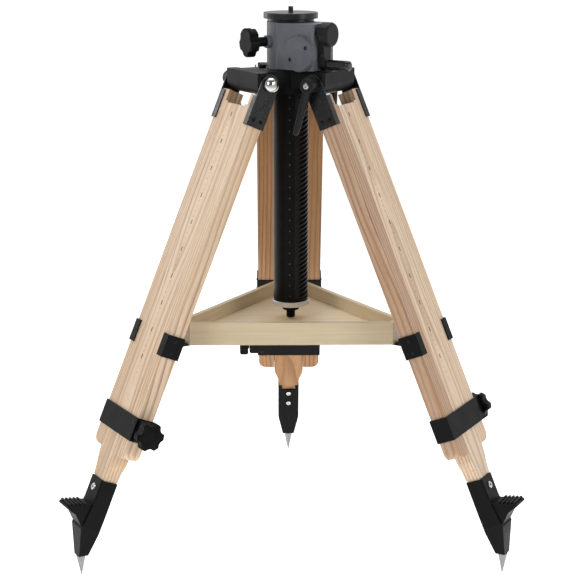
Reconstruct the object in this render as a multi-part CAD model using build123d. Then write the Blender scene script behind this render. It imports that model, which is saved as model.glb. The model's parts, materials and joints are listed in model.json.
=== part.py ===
from build123d import *
from math import atan, cos, degrees, pi, radians, sin, sqrt, tan
import os

# Wooden field tripod with a crank-geared centre column. Millimetres, +Z up, spikes on z = 0.
# The tripod's axis is vertical at x = 0, y = AXIS_Y, so that the origin is under the middle of
# the whole object. Parts are modelled about the tripod's axis and moved by AXIS_Y when saved.
AXIS_Y = -98.0

# Legs
PIVOT_RADIUS = 78.4
PIVOT_HEIGHT = 847.0
LEAN = 23.85
LEG_AZIMUTHS = {"left": -60.0, "right": 60.0, "rear": 180.0}
LEG_WIDTH = 123.5
LEG_THICKNESS = 30.0
BOARD_WIDTH = 59.0
BOARD_THICKNESS = 29.4
TONGUE = 7.0
TONGUE_THICKNESS = 8.0
RAIL_TOP = -24.0
RAIL_BOTTOM = -690.0
BOARD_TOP = -47.0
NECK_TOP = -696.0
NECK_WIDTH = 38.0
FOOT_TOP = -742.0
SHEET = 2.4
GAP = 0.35
RUNNING = 0.06

# Hinges
BARREL_RADIUS = 20.0
BARREL_HALF = 59.0
BOLT_RADIUS = 6.0
BRACKET_BOTTOM = -78.0
BRACKET_HALF_WIDTH = 17.6
BRACKET_LIP = 11.0
LEVER_HANG = 16.0

# Leg clamps and feet
BAND_TOP = -613.0
BAND_HEIGHT = 42.0
CLAMP_BLOCK = 17.0
SCREW_RADIUS = 4.0
STAR_RADIUS = 25.5
SPIKE_RADIUS = 8.5
SPIKE_LENGTH = 37.0
SPIKE_STANDOFF = 429.0
FOOT_WIDTH = 43.0

# Centre column
TUBE_RADIUS = 31.2
TUBE_BORE = 20.0
TUBE_BOTTOM = 446.0
TUBE_TOP = 956.0
PLATE_RADIUS = 48.0
PLATE_TOP = 964.0
PLATE_THICKNESS = 10.5
ROD_RADIUS = 5.0
STUD_RADIUS = 4.76
STUD_HEIGHT = 10.0
RING_RADIUS = 34.0
RACK_PLANE = 22.6
RACK_BOTTOM = 452.0
RACK_TOP = 924.0
TOOTH_PITCH = 8.4
TOOTH_SLANT = 15.0
PRESSURE_ANGLE = 20.0

# Head
CROWN_TOP = 867.0
CROWN_BOTTOM = 826.0
SLEEVE_RADIUS = 42.0
SLEEVE_TOP = 948.0
BUSH_RADIUS = 35.0
GEAR_TURN = -34.0
GEARBOX_RIGHT = 77.0
GEARBOX_FRONT = 48.0
GEARBOX_TOP = SLEEVE_TOP
BOSS_RADIUS = 31.0

# Lifting gear: pinion on the rack, worm wheel beside it, worm on the crank's shaft above
PINION_TEETH = 16
PINION_RADIUS = PINION_TEETH * TOOTH_PITCH / (2 * pi)
PINION_X = 28.7 + PINION_RADIUS
PINION_Z = 897.5
WHEEL_TEETH = 30
WHEEL_MODULE = 1.57
WHEEL_RADIUS = WHEEL_TEETH * WHEEL_MODULE / 2
WORM_STARTS = 5
WORM_RADIUS = 9.4
WORM_LEAD = WORM_STARTS * pi * WHEEL_MODULE
WORM_Y = -24.5
WORM_Z = PINION_Z + WHEEL_RADIUS + WORM_RADIUS + 0.05
CRANK_START = 80.5
CRANK_RADIUS = 51.5
HUB_END = CRANK_START + 22.0
GRIP_END = CRANK_START + 57.5
GRIP_RADIUS = 9.0

# Column brake, and the grub screws beside it
BRAKE_AZIMUTH = -62.0
BRAKE_Z = 914.5
SET_SCREW_AZIMUTH = -76.0
SET_SCREW_HEIGHTS = (925.5, 934.0)

# Tray
TRAY_INRADIUS = 122.0
TRAY_TIP = 216.0
TRAY_TOP = 433.0
TRAY_BOTTOM = 392.5
WALL = 10.0
FLOOR_BOTTOM = 402.0
FLOOR_TOP = 409.0
HINGE_RADIUS = 246.0
HINGE_Z = 396.0

pieces = {}


def along_x(radius, start, end, y=0.0, z=0.0):
    """Round bar along X from start to end."""
    bar = Rot(0, 90, 0) * Cylinder(radius, end - start)
    return Pos((start + end) / 2, y, z) * bar


def along_y(radius, start, end, x=0.0, z=0.0):
    """Round bar along Y from start to end."""
    bar = Rot(90, 0, 0) * Cylinder(radius, end - start)
    return Pos(x, (start + end) / 2, z) * bar


def along_z(radius, start, end, x=0.0, y=0.0):
    """Round bar along Z from start to end."""
    return Pos(x, y, (start + end) / 2) * Cylinder(radius, end - start)


def block(x_range, y_range, z_range):
    """Box from three (low, high) ranges."""
    middle = [(low + high) / 2 for low, high in (x_range, y_range, z_range)]
    spans = [high - low for low, high in (x_range, y_range, z_range)]
    return Pos(*middle) * Box(*spans)


def outline_xz(points, y_start, y_end):
    """Prism of an outline in the XZ plane, from y_start to y_end."""
    face = make_face(Polyline(*[(x, y_start, z) for x, z in points], close=True))
    return extrude(face, y_end - y_start, dir=(0, 1, 0))


def outline_yz(points, x_start, x_end):
    """Prism of an outline in the YZ plane, from x_start to x_end."""
    face = make_face(Polyline(*[(x_start, y, z) for y, z in points], close=True))
    return extrude(face, x_end - x_start, dir=(1, 0, 0))


def outline_xy(points, z_start, z_end):
    """Prism of an outline in the XY plane, from z_start to z_end."""
    face = make_face(Polyline(*[(x, y, z_start) for x, y in points], close=True))
    return extrude(face, z_end - z_start, dir=(0, 0, 1))


def star_knob(radius, thickness, lobes, depth, phase=0.0):
    """Lobed knob standing on z = 0 with its hub towards -Z, scalloped between its lobes."""
    knob = Pos(0, 0, thickness / 2) * Cylinder(radius, thickness)
    knob = fillet(knob.edges().filter_by(GeomType.CIRCLE), thickness * 0.22)
    for index in range(lobes):
        turn = 360 * index / lobes + phase
        scallop = Pos(radius + depth * 0.9, 0, thickness / 2) * Cylinder(depth * 1.9, thickness * 2)
        knob -= Rot(0, 0, turn) * scallop
    return knob + along_z(radius * 0.5, -2, 1)


def gear_blank(teeth, module, width, clearance, twist):
    """Spur or helical gear about +Y, width centred on y = 0, with a tooth on +X at y = 0."""
    pitch = teeth * module / 2
    tip = pitch + 0.8 * module
    root = pitch - 1.15 * module
    base = pitch * cos(radians(PRESSURE_ANGLE))
    thickness = pi * module / 2 - clearance

    def involute(radius):
        if radius <= base:
            return 0.0
        roll = sqrt((radius / base) ** 2 - 1)
        return roll - atan(roll)

    half_at_pitch = thickness / 2 / pitch
    stations = [root, max(root + 0.05, base), (base + 2 * tip) / 3, tip]
    flank = [(r, half_at_pitch + involute(pitch) - involute(r)) for r in stations]
    points = []
    for index in range(teeth):
        middle = 2 * pi * index / teeth
        for radius, half in flank:
            points.append((radius * cos(middle - half), radius * sin(middle - half)))
        for radius, half in reversed(flank):
            points.append((radius * cos(middle + half), radius * sin(middle + half)))
    total = degrees(twist * width)
    outline = Polyline(*[(x, y, 0) for x, y in points], close=True)
    face = Rot(0, 0, -total / 2) * make_face(outline)
    gear = Solid.extrude_linear_with_rotation(face.faces()[0], (0, 0, 0), (0, 0, width), total)
    return Rot(-90, 0, 0) * (Pos(0, 0, -width / 2) * gear)


# Placing functions


def on_axis(shape):
    """Shape modelled about the tripod's axis."""
    return Pos(0, AXIS_Y, 0) * shape


def on_gearbox(shape):
    """Shape modelled with X along the crank and the gearbox's face towards -Y."""
    return Pos(0, AXIS_Y, 0) * Rot(0, 0, GEAR_TURN) * shape


def on_leg(shape, azimuth):
    """Shape modelled about a leg's hinge: X across the leg, -Y outwards, +Z up the leg."""
    leg = Pos(0, -PIVOT_RADIUS, PIVOT_HEIGHT) * Rot(-LEAN, 0, 0) * shape
    return Pos(0, AXIS_Y, 0) * Rot(0, 0, azimuth) * leg


def on_side(shape, azimuth):
    """Shape modelled upright in a leg's direction: outwards is -Y, heights are true."""
    return Pos(0, AXIS_Y, 0) * Rot(0, 0, azimuth) * shape


def into_leg(radius, height):
    """Point given by distance from the tripod's axis and height, as leg (y, z)."""
    out = PIVOT_RADIUS - radius
    up = height - PIVOT_HEIGHT
    lean = radians(LEAN)
    return (out * cos(lean) - up * sin(lean), out * sin(lean) + up * cos(lean))


def save(name, shapes):
    """Keep a node: one shape or a list of shapes, each a separate solid."""
    shapes = shapes if isinstance(shapes, list) else [shapes]
    solids = [solid for shape in shapes for solid in shape.solids()]
    pieces[name] = Compound(children=solids) if len(solids) > 1 else solids[0]


# Head crown and its fittings


def head_crown():
    body = along_z(47.0, CROWN_BOTTOM, CROWN_TOP)
    for azimuth in LEG_AZIMUTHS.values():
        arm = block((-42, 42), (-PIVOT_RADIUS, 0), (837, CROWN_TOP))
        barrel = along_x(BARREL_RADIUS, -BARREL_HALF, BARREL_HALF, -PIVOT_RADIUS, PIVOT_HEIGHT)
        barrel = chamfer(barrel.edges().filter_by(GeomType.CIRCLE), 4)
        outer = -PIVOT_RADIUS - BARREL_RADIUS
        shoulder = block((-BARREL_HALF, BARREL_HALF), (outer, -PIVOT_RADIUS), (PIVOT_HEIGHT, CROWN_TOP))
        shoulder = chamfer(shoulder.edges().filter_by(Axis.Z).group_by(Axis.Y)[0], 4)
        body += Rot(0, 0, azimuth) * (arm + barrel + shoulder)
    for azimuth in LEG_AZIMUTHS.values():
        hole = along_x(BOLT_RADIUS, -70, 70, -PIVOT_RADIUS, PIVOT_HEIGHT)
        body -= Rot(0, 0, azimuth) * hole
    body -= along_z(BUSH_RADIUS, CROWN_BOTTOM - 1, CROWN_BOTTOM + 22)
    body -= along_z(TUBE_RADIUS + 0.6, CROWN_BOTTOM, CROWN_TOP + 1)
    body -= along_z(40.0, CROWN_TOP - 14, CROWN_TOP + 1)
    return body


def gear_housing():
    sleeve = along_z(SLEEVE_RADIUS, CROWN_TOP, SLEEVE_TOP) + along_z(40.0, CROWN_TOP - 14, CROWN_TOP)
    case = block((0, GEARBOX_RIGHT), (-GEARBOX_FRONT, 20), (CROWN_TOP + 1.5, GEARBOX_TOP))
    case = fillet(case.edges().filter_by(Axis.Z), 4)
    boss = along_y(BOSS_RADIUS, -GEARBOX_FRONT - 4, -40, PINION_X, PINION_Z)
    case += boss - block((CRANK_START - 0.7, CRANK_START + 20), (-70, 0), (840, 960))
    brake_boss = along_x(11.0, 35, 50, 0, BRAKE_Z)
    brake_boss = Rot(0, 0, BRAKE_AZIMUTH - 90 - GEAR_TURN) * brake_boss
    body = sleeve + case + brake_boss
    body -= along_z(BUSH_RADIUS, SLEEVE_TOP - 22, SLEEVE_TOP + 1)
    body -= along_z(TUBE_RADIUS + 0.6, CROWN_TOP - 20, SLEEVE_TOP + 1)
    body -= along_y(25.4, -GEARBOX_FRONT - 5, 12, PINION_X, PINION_Z)
    body -= along_y(6.0 + 3.0, 11, 18, PINION_X, PINION_Z)
    body -= along_x(11.3, 12, 70, WORM_Y, WORM_Z)
    body -= along_x(9.0, 69, 78, WORM_Y, WORM_Z)
    brake_hole = Rot(0, 0, BRAKE_AZIMUTH - 90 - GEAR_TURN) * along_x(SCREW_RADIUS + RUNNING, 20, 60, 0, BRAKE_Z)
    pad_hole = Rot(0, 0, BRAKE_AZIMUTH - 90 - GEAR_TURN) * along_x(6.0, 20, 36.5, 0, BRAKE_Z)
    body -= brake_hole + pad_hole
    for height in SET_SCREW_HEIGHTS:
        body -= Rot(0, 0, SET_SCREW_AZIMUTH - 90 - GEAR_TURN) * along_x(2.5, 30, 50, 0, height)
    return body


def set_screws():
    screws = []
    for height in SET_SCREW_HEIGHTS:
        screw = along_x(2.5, 36, 41.2, 0, height)
        socket = along_x(1.3, 39.5, 42, 0, height)
        screws.append(Rot(0, 0, SET_SCREW_AZIMUTH - 90 - GEAR_TURN) * (screw - socket))
    return screws


def bearing_cap():
    cap = along_y(29.6, -GEARBOX_FRONT - 7, -GEARBOX_FRONT - 4, PINION_X, PINION_Z)
    cap += along_y(25.4, -GEARBOX_FRONT - 4, -GEARBOX_FRONT + 6, PINION_X, PINION_Z)
    cap = chamfer(cap.edges().filter_by(GeomType.CIRCLE).group_by(Axis.Y)[0], 1)
    cap -= along_y(6.0 + RUNNING, -GEARBOX_FRONT - 1, -GEARBOX_FRONT + 7, PINION_X, PINION_Z)
    for side in (-1, 1):
        x = PINION_X + side * 19.0 * cos(radians(33.5))
        z = PINION_Z + side * 19.0 * sin(radians(33.5))
        cap -= along_y(3.6, -GEARBOX_FRONT - 8, -GEARBOX_FRONT - 2, x, z)
    return cap


def column_bushes():
    bushes = []
    for start in (CROWN_BOTTOM, SLEEVE_TOP - 22):
        ring = along_z(BUSH_RADIUS, start, start + 22) - along_z(TUBE_RADIUS + RUNNING, start - 1, start + 23)
        bushes.append(ring)
    return bushes


def gear_bushes():
    rear = along_y(9.0, 11, 18, PINION_X, PINION_Z) - along_y(6.0 + RUNNING, 10, 19, PINION_X, PINION_Z)
    outer = along_x(9.0, 70, GEARBOX_RIGHT, WORM_Y, WORM_Z)
    outer -= along_x(6.0 + RUNNING, 69, 79, WORM_Y, WORM_Z)
    return [rear, outer]


def hinge_bolts():
    bolts = []
    for azimuth in LEG_AZIMUTHS.values():
        bolt = along_x(BOLT_RADIUS, -80, 72, -PIVOT_RADIUS, PIVOT_HEIGHT)
        bolts.append(Rot(0, 0, azimuth) * bolt)
    return bolts


def dome_nuts():
    nuts = []
    for azimuth in LEG_AZIMUTHS.values():
        nut = along_x(13.5, 64.9, 78, -PIVOT_RADIUS, PIVOT_HEIGHT)
        nut = fillet(nut.edges().filter_by(GeomType.CIRCLE).sort_by(Axis.X)[-1], 10.5)
        nut -= along_x(BOLT_RADIUS, 60, 72, -PIVOT_RADIUS, PIVOT_HEIGHT)
        nuts.append(Rot(0, 0, azimuth) * nut)
    return nuts


# Column


def in_rack_segment(extra=0.0):
    """Segment of the tube's section that the rack fills."""
    slab = block((RACK_PLANE - extra, TUBE_RADIUS + 1), (-24, 24), (RACK_BOTTOM - extra, RACK_TOP + extra))
    return slab


def gear_rack():
    bar = along_z(TUBE_RADIUS, RACK_BOTTOM, RACK_TOP) & in_rack_segment()
    half_pitch = TOOTH_PITCH / 4
    depth_top = TUBE_RADIUS + 1
    pitch_plane = PINION_X - PINION_RADIUS
    floor = pitch_plane - 0.8 * TOOTH_PITCH / pi - 0.45
    slope = tan(radians(PRESSURE_ANGLE))
    cutters = []
    first = int((RACK_BOTTOM - PINION_Z) / TOOTH_PITCH) - 1
    last = int((RACK_TOP - PINION_Z) / TOOTH_PITCH) + 1
    for index in range(first, last + 1):
        middle = PINION_Z + index * TOOTH_PITCH
        narrow = half_pitch - (pitch_plane - floor) * slope
        wide = half_pitch + (depth_top - pitch_plane) * slope
        points = [(floor, middle - narrow), (depth_top, middle - wide)]
        points += [(depth_top, middle + wide), (floor, middle + narrow)]
        face = make_face(Polyline(*[(x, 0, z) for x, z in points], close=True))
        rise = tan(radians(TOOTH_SLANT))
        cutter = extrude(face, 26, dir=(0, 1, rise)) + extrude(face, 26, dir=(0, -1, -rise))
        cutters.append(cutter)
    return bar - cutters


def column_tube():
    tube = along_z(TUBE_RADIUS, TUBE_BOTTOM, TUBE_TOP) - along_z(TUBE_BORE, TUBE_BOTTOM - 1, TUBE_TOP - 14)
    tube -= along_z(ROD_RADIUS + RUNNING, TUBE_TOP - 20, TUBE_TOP + 1)
    return tube - Rot(0, 0, GEAR_TURN) * in_rack_segment()


def top_plate():
    plate = along_z(PLATE_RADIUS, PLATE_TOP - PLATE_THICKNESS, PLATE_TOP)
    plate = chamfer(plate.edges().filter_by(GeomType.CIRCLE), 0.8)
    plate += along_z(41.0, SLEEVE_TOP + 0.6, PLATE_TOP - PLATE_THICKNESS)
    plate -= along_z(TUBE_RADIUS, SLEEVE_TOP - 1, TUBE_TOP)
    return plate - along_z(ROD_RADIUS + RUNNING, TUBE_TOP - 1, PLATE_TOP + 1)


def end_ring():
    ring = along_z(RING_RADIUS, TUBE_BOTTOM - 9, TUBE_BOTTOM)
    ring = chamfer(ring.edges().filter_by(GeomType.CIRCLE), 0.8)
    notches = [Rot(0, 0, 7.5 * index) * along_z(1.2, 430, 450, RING_RADIUS + 0.5) for index in range(48)]
    return ring - notches - along_z(ROD_RADIUS + RUNNING, 430, 450)


def draw_rod():
    rod = along_z(ROD_RADIUS, TUBE_BOTTOM - 20, PLATE_TOP)
    stud = along_z(STUD_RADIUS, PLATE_TOP - 1, PLATE_TOP + STUD_HEIGHT)
    stud = chamfer(stud.edges().filter_by(GeomType.CIRCLE).group_by(Axis.Z)[-1], 0.8)
    stop = along_z(11.0, TUBE_TOP - 22, TUBE_TOP - 16)
    return rod + stud + stop


def draw_knob():
    knob = along_z(15.4, TUBE_BOTTOM - 19, TUBE_BOTTOM - 10)
    knob = chamfer(knob.edges().filter_by(GeomType.CIRCLE), 1)
    knob += along_z(8.0, TUBE_BOTTOM - 34, TUBE_BOTTOM - 19)
    knob -= along_z(ROD_RADIUS, TUBE_BOTTOM - 20, TUBE_BOTTOM)
    return knob


# Lifting gear and crank, in the gearbox's own directions


def pinion_shaft():
    twist = tan(radians(TOOTH_SLANT)) / PINION_RADIUS
    pinion = gear_blank(PINION_TEETH, TOOTH_PITCH / pi, 18, 0.7, twist)
    pinion = Rot(0, 180, 0) * pinion
    shaft = along_y(6.0, -GEARBOX_FRONT, 17.5, PINION_X, PINION_Z)
    return Pos(PINION_X, 0, PINION_Z) * pinion + shaft


def worm_wheel():
    lead_angle_tan = WORM_LEAD / (2 * pi * WORM_RADIUS)
    wheel = gear_blank(WHEEL_TEETH, WHEEL_MODULE, 10, 0.8, lead_angle_tan / WHEEL_RADIUS)
    wheel = Pos(PINION_X, WORM_Y, PINION_Z) * Rot(0, -90, 0) * wheel
    return wheel - along_y(6.0, -40, 0, PINION_X, PINION_Z)


def worm_shaft():
    root, tip = WORM_RADIUS - 2.0, WORM_RADIUS + 1.3
    half_root, half_tip = 21.0, 5.5
    points = []
    for index in range(WORM_STARTS):
        middle = 90 + 360 * index / WORM_STARTS
        for radius, offset in ((root, -half_root), (tip, -half_tip), (tip, half_tip), (root, half_root)):
            angle = radians(middle + offset)
            points.append((radius * cos(angle), radius * sin(angle)))
    length = 30.0
    turn = 360 * length / WORM_LEAD
    face = make_face(Polyline(*[(x, y, 0) for x, y in points], close=True))
    face = Rot(0, 0, -turn / 2) * face
    thread = Solid.extrude_linear_with_rotation(face.faces()[0], (0, 0, 0), (0, 0, length), turn)
    thread = Plane.YZ.location * Pos(0, 0, -length / 2) * thread
    thread = Pos(PINION_X, WORM_Y, WORM_Z) * thread
    shaft = along_x(6.0, 70, CRANK_START + 20, WORM_Y, WORM_Z) + along_x(6.0, 60, 71, WORM_Y, WORM_Z)
    return thread + shaft


def crank_arm():
    hub_y, hub_z = WORM_Y, WORM_Z
    grip_z = WORM_Z - CRANK_RADIUS
    arm = make_hull(
        (Pos(hub_y, hub_z) * Circle(13.5)).edges() + (Pos(hub_y, grip_z) * Circle(9.5)).edges()
    )
    arm = extrude(Plane.YZ.offset(CRANK_START) * arm, 11)
    clamp = block((CRANK_START, CRANK_START + 18), (hub_y - 18, hub_y), (hub_z - 4, hub_z + 14))
    clamp = fillet(clamp.edges().filter_by(Axis.X), 2)
    hub = along_x(20.5, CRANK_START + 4, HUB_END, hub_y, hub_z)
    hub = fillet(hub.edges().filter_by(GeomType.CIRCLE).group_by(Axis.X)[-1], 3)
    body = arm + clamp + hub
    body -= along_x(6.0, CRANK_START - 1, CRANK_START + 20, hub_y, hub_z)
    return body - along_x(SCREW_RADIUS, CRANK_START - 1, CRANK_START + 12, hub_y, grip_z)


def grip_spindle():
    grip_z = WORM_Z - CRANK_RADIUS
    spindle = along_x(SCREW_RADIUS, CRANK_START, GRIP_END - 7, WORM_Y, grip_z)
    collar = along_x(6.0, CRANK_START + 11, CRANK_START + 13.5, WORM_Y, grip_z)
    head = along_x(6.0, GRIP_END - 7, GRIP_END - 5, WORM_Y, grip_z)
    return spindle + collar + head


def crank_grip():
    grip_z = WORM_Z - CRANK_RADIUS
    grip = along_x(GRIP_RADIUS, CRANK_START + 14, GRIP_END, WORM_Y, grip_z)
    grip = fillet(grip.edges().filter_by(GeomType.CIRCLE).group_by(Axis.X)[-1], 5)
    grip = fillet(grip.edges().filter_by(GeomType.CIRCLE).group_by(Axis.X)[0], 1.5)
    grip -= along_x(SCREW_RADIUS + RUNNING, CRANK_START + 13, GRIP_END - 7.3, WORM_Y, grip_z)
    return grip - along_x(6.4, GRIP_END - 7.4, GRIP_END - 4.6, WORM_Y, grip_z)


# Column brake, modelled outwards along X


def brake_parts():
    turn = Rot(0, 0, BRAKE_AZIMUTH - 90)
    screw = along_x(SCREW_RADIUS, 36.4, 84, 0, BRAKE_Z) + along_x(8.4, 50.4, 71, 0, BRAKE_Z)
    knob = Pos(73, 0, BRAKE_Z) * Rot(0, 90, 0) * star_knob(STAR_RADIUS, 17, 5, 6.0, 36)
    knob -= along_x(8.4, 50, 71, 0, BRAKE_Z) + along_x(SCREW_RADIUS, 60, 84, 0, BRAKE_Z)
    pad = along_x(5.9, TUBE_RADIUS + 0.25, 36.2, 0, BRAKE_Z)
    return turn * screw, turn * knob, turn * pad


def bubble_level():
    cup = along_z(6.5, CROWN_TOP, CROWN_TOP + 5, -50, 2)
    return cup - along_z(5.0, CROWN_TOP + 3.5, CROWN_TOP + 6, -50, 2)


# Legs, in the leg's own directions


def leg_rails():
    rails = []
    inner = BOARD_WIDTH / 2 + GAP
    outer = LEG_WIDTH / 2
    half = LEG_THICKNESS / 2
    for side in (-1, 1):
        x_range = sorted((side * inner, side * outer))
        rail = block(x_range, (-half, half), (RAIL_BOTTOM, RAIL_TOP))
        corner = rail.edges().filter_by(Axis.Y).group_by(Axis.Z)[0].sort_by(Axis.X)
        rail = fillet(corner[-1] if side > 0 else corner[0], 15)
        rail = fillet(rail.edges().filter_by(Axis.Z), 1.2)
        groove = sorted((side * (inner - 1), side * (inner + TONGUE + GAP)))
        groove_half = TONGUE_THICKNESS / 2 + GAP
        rail -= block(groove, (-groove_half, groove_half), (RAIL_BOTTOM - 1, RAIL_TOP + 1))
        above_board = (BOARD_TOP + 3, RAIL_TOP + 1)
        relief = sorted((side * (inner - 1), side * (inner + TONGUE + 1.5)))
        rail -= block(relief, (-half - 1, half + 1), above_board)
        rails.append(rail)
    return rails


def hinge_brackets():
    plates = []
    half = LEG_THICKNESS / 2
    outer = LEG_WIDTH / 2
    for side in (-1, 1):
        x_range = sorted((side * outer, side * (outer + SHEET)))
        plate = block(x_range, (-BRACKET_HALF_WIDTH, BRACKET_HALF_WIDTH), (BRACKET_BOTTOM, 0))
        plate += along_x(BRACKET_HALF_WIDTH, x_range[0], x_range[1])
        for face in (-1, 1):
            y_range = sorted((face * (half + 0.1), face * (half + SHEET)))
            lip_x = sorted((side * (outer - BRACKET_LIP), side * (outer + SHEET)))
            plate += block(lip_x, y_range, (BRACKET_BOTTOM, RAIL_TOP - 2))
        plate -= along_x(BOLT_RADIUS + RUNNING, x_range[0] - 1, x_range[1] + 1)
        plates.append(plate)
    return plates


def clamp_band():
    outer = LEG_WIDTH / 2
    half = LEG_THICKNESS / 2
    low, high = BAND_TOP - BAND_HEIGHT, BAND_TOP
    band = block((-outer - SHEET, outer + SHEET), (-half - SHEET, half + SHEET), (low, high))
    band -= block((-outer, outer), (-half, half), (low - 1, high + 1))
    ear = block((outer + SHEET, outer + SHEET + CLAMP_BLOCK), (-13, 13), (low + 2, high - 2))
    ear = fillet(ear.edges().filter_by(Axis.Y).group_by(Axis.X)[-1], 5)
    middle = (low + high) / 2
    band += ear
    return band - along_x(SCREW_RADIUS + RUNNING, outer - 1, outer + 30, 0, middle)


def clamp_knob():
    middle = BAND_TOP - BAND_HEIGHT / 2
    start = LEG_WIDTH / 2 + SHEET + CLAMP_BLOCK
    knob = Pos(start + 2.6, 0, middle) * Rot(0, 90, 0) * star_knob(STAR_RADIUS, 17, 6, 5.6, 15)
    screw = along_x(SCREW_RADIUS, LEG_WIDTH / 2 + 0.5, start + 6, 0, middle)
    return knob + screw


def tray_clip(azimuth):
    """Steel saddle round a leg at the tray, with a lug or hinge ears reaching inwards."""
    outer = LEG_WIDTH / 2 + 0.1
    half = LEG_THICKNESS / 2 + 0.1
    low, high = -500.0, -460.0
    clip = block((-outer - SHEET, outer + SHEET), (-half - SHEET, half + SHEET), (low, high))
    clip -= block((-outer, outer), (-half, half), (low - 1, high + 1))
    clip -= block((-outer + 15, outer - 15), (-half - SHEET - 1, -half + 1), (low - 1, high + 1))
    clip = on_leg(clip, azimuth)
    if azimuth != LEG_AZIMUTHS["rear"]:
        lug = block((-12, 12), (-260.2, -239.0), (HINGE_Z - 0.5, HINGE_Z + 2.5))
        return clip + on_side(lug, azimuth)
    for side in (-1, 1):
        x_range = sorted((side * 16.5, side * 20.5))
        ear = block(x_range, (-257.4, -HINGE_RADIUS), (HINGE_Z - 6, HINGE_Z + 6))
        ear += along_x(6.0, x_range[0], x_range[1], -HINGE_RADIUS, HINGE_Z)
        ear -= along_x(3.0, x_range[0] - 1, x_range[1] + 1, -HINGE_RADIUS, HINGE_Z)
        clip += on_side(ear, azimuth)
    return clip


# Boards and feet, in the leg's own directions


def leg_board():
    half = BOARD_THICKNESS / 2
    width = BOARD_WIDTH / 2
    tongue = width + TONGUE
    body = block((-width, width), (-half, half), (NECK_TOP, BOARD_TOP))
    corners = body.edges().filter_by(Axis.Y).group_by(Axis.Z)[-1]
    body = fillet(corners, 3)
    tongues = block((-tongue, tongue), (-TONGUE_THICKNESS / 2, TONGUE_THICKNESS / 2), (NECK_TOP + 14, BOARD_TOP - 4))
    neck = NECK_WIDTH / 2
    points = [(-width, NECK_TOP), (-width + 1.5, NECK_TOP - 10), (-neck - 3, NECK_TOP - 26), (-neck, FOOT_TOP)]
    points += [(-neck, FOOT_TOP - 52), (neck, FOOT_TOP - 52), (neck, FOOT_TOP), (neck + 3, NECK_TOP - 26)]
    points += [(width - 1.5, NECK_TOP - 10), (width, NECK_TOP)]
    tail = outline_xz(points, -12.4, 12.4)
    shoulder = outline_xz(points[:3] + [(-neck, FOOT_TOP + 2), (neck, FOOT_TOP + 2)] + points[7:], -half, half)
    return body + tongues + tail + shoulder


def foot_shell():
    half = FOOT_WIDTH / 2
    top_outer, top_inner = (-16.5, FOOT_TOP), (16.0, FOOT_TOP)
    outline = [top_outer, (-16.5, -790.0), into_leg(435.5, 94), into_leg(437, 38), into_leg(420, 38)]
    outline += [(16.0, -805.0), top_inner]
    shell = outline_yz(outline, -half, half)
    for side in (-1, 1):
        taper = [(side * 30, -828), (side * half, -828), (side * 9.5, -890), (side * 9.5, -930), (side * 30, -930)]
        shell -= outline_xz(taper, -60, 60)
    shell = fillet(shell.edges().filter_by(Axis.Z), 2.5)
    shell -= block((-NECK_WIDTH / 2, NECK_WIDTH / 2), (-12.4, 12.4), (FOOT_TOP - 52, FOOT_TOP + 1))
    shell -= block((-14, 14), (10, 20), (FOOT_TOP - 10, FOOT_TOP + 1))
    pedal = outline_yz(
        [into_leg(412, 133), into_leg(457, 140), into_leg(459, 136), into_leg(444, 122), into_leg(435, 100), into_leg(420, 92)],
        -19,
        19,
    )
    for index in range(5):
        ridge_radius = 425 + 7 * index
        y, z = into_leg(ridge_radius, 134.5 + (ridge_radius - 412) * 0.155)
        pedal += Pos(0, y, z) * Rot(LEAN, 0, 0) * Box(38, 3.4, 3.4)
    bore_y, bore_z = into_leg(SPIKE_STANDOFF, SPIKE_LENGTH)
    bore = Pos(0, bore_y, bore_z) * Rot(LEAN, 0, 0) * Cylinder(5.0, 36)
    holes = [along_y(3.0, -20, -8, 0, FOOT_TOP - 17), along_y(3.0, 8, 20, 0, FOOT_TOP - 20)]
    holes.append(along_y(3.0, 8, 20, 0, FOOT_TOP - 47))
    return shell + pedal - bore - holes


def spike():
    bore_y, bore_z = into_leg(SPIKE_STANDOFF, SPIKE_LENGTH)
    cone = Pos(0, 0, -SPIKE_LENGTH / 2) * Cone(0.7, SPIKE_RADIUS, SPIKE_LENGTH)
    shank = Pos(0, 0, 9) * Cylinder(5.0, 18)
    return Pos(0, bore_y, bore_z) * Rot(LEAN, 0, 0) * (cone + shank)


def foot_screws():
    screws = []
    front = along_y(3.0, -16.5, -12.4, 0, FOOT_TOP - 17) + along_y(6.5, -18.2, -16.5, 0, FOOT_TOP - 17)
    screws.append(front)
    for drop in (20, 47):
        screws.append(along_y(3.0, 12.4, 16, 0, FOOT_TOP - drop) + along_y(5.0, 16, 17.8, 0, FOOT_TOP - drop))
    return screws


def clamp_lever():
    """Ratchet lever on the hinge bolt, hanging down and a little inwards at rest."""
    hub = along_x(13.0, -87.0, -64.9)
    hub = fillet(hub.edges().filter_by(GeomType.CIRCLE).group_by(Axis.X)[0], 3)
    arm = Pos(-79, 0, -46) * Cone(5.0, 8.0, 78)
    end = Pos(-79, 0, -85) * Sphere(5.0)
    body = hub + arm + end
    body -= along_x(BOLT_RADIUS + RUNNING, -80.1, -60)
    return Rot(LEAN + LEVER_HANG, 0, 0) * body


# Tray


def tray_outline(inradius, tip):
    """Equilateral triangle about the axis with blunted corners, one side towards -Y."""
    points = []
    for azimuth in (-60, 60, 180):
        out = (sin(radians(azimuth)), -cos(radians(azimuth)))
        across = (cos(radians(azimuth)), sin(radians(azimuth)))
        half = (inradius * 2 - tip) / sqrt(3)
        points.append((out[0] * tip - across[0] * half, out[1] * tip - across[1] * half))
        points.append((out[0] * tip + across[0] * half, out[1] * tip + across[1] * half))
    return points


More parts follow.
